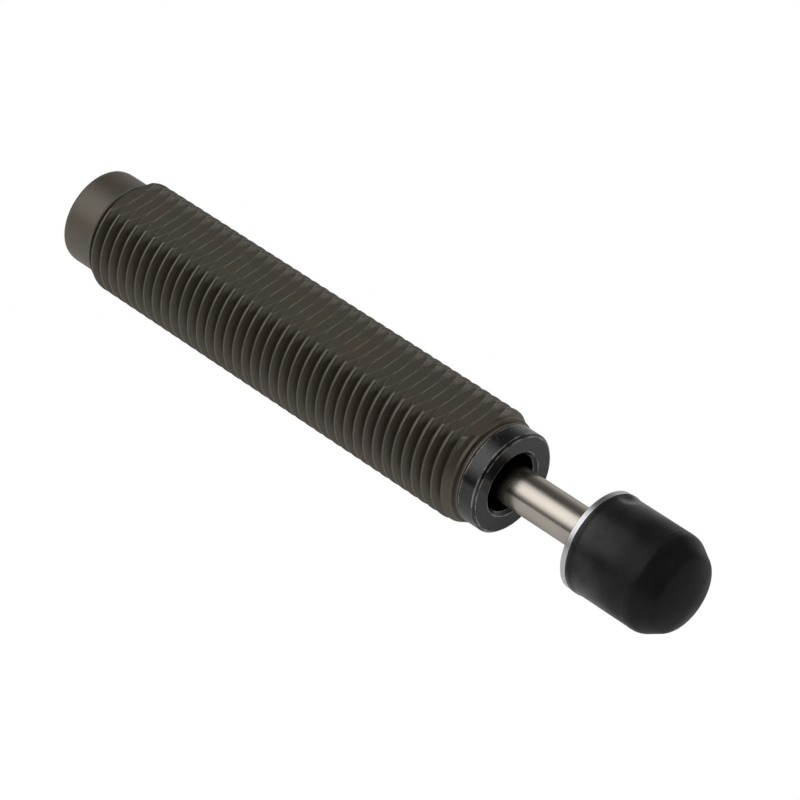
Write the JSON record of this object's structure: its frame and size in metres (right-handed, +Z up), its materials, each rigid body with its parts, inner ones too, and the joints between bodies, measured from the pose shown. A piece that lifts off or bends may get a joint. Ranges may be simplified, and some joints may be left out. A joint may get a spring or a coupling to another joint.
{
  "type": "industrial shock absorber",
  "caption": "Miniature hydraulic shock absorber: fine-threaded steel body with wrench flats, black stop collar, sliding piston rod and domed striker cap.",
  "frame": {"origin": "on the damper's axis, in the plane of the stop face at the front of the stop collar", "axes": "+X along the axis towards the striker cap, the way the rod extends; +Z is the normal of the upper wrench flat, so the part lies on its lower flat with +Z up"},
  "size_m": [0.0933, 0.014, 0.0122],
  "materials": {
    "body_steel": "dark brown-grey nitrided and phosphated steel, matt",
    "collar_steel": "black oxide steel, glossy, bright at its edges",
    "turned_steel": "plain turned steel",
    "spring_steel": "polished spring steel",
    "rod_steel": "hardened stainless steel, satin",
    "button_steel": "bright turned steel",
    "cap_rubber": "moulded black polyurethane, satin",
    "seal_rubber": "black nitrile rubber",
    "bush_bronze": "sintered bronze",
    "ring_plastic": "filled fluoropolymer"
  },
  "bodies": {
    "body": {"outer_body": "body_steel", "stop_collar": "collar_steel", "diaphragm_sleeve": "turned_steel", "rolling_diaphragm": "seal_rubber", "main_bearing": "turned_steel", "bearing_seal": "seal_rubber", "guide_bush": "bush_bronze", "pressure_chamber": "turned_steel", "chamber_base": "turned_steel", "return_spring": "spring_steel", "seal_ball": "spring_steel", "fill_plug": "collar_steel"},
    "rod": {"piston_rod": "rod_steel", "rod_button": "button_steel", "striker_cap": "cap_rubber", "diaphragm_crimp": "turned_steel", "piston": "turned_steel", "piston_ring": "ring_plastic", "spring_seat": "turned_steel", "piston_nut": "turned_steel"},
    "check": {"check_plate": "spring_steel"}
  },
  "joints": [
    {"name": "rod_slide", "type": "slide", "parent": "body", "child": "rod", "axis": [-1, 0, 0], "range_m": [0, 0.0125], "stiffness_N_per_m": 360, "springref_m": -0.0111, "deforming": ["return_spring", "rolling_diaphragm"]},
    {"name": "check_lift", "type": "slide", "parent": "rod", "child": "check", "axis": [-1, 0, 0], "range_m": [0, 0.0004]}
  ]
}
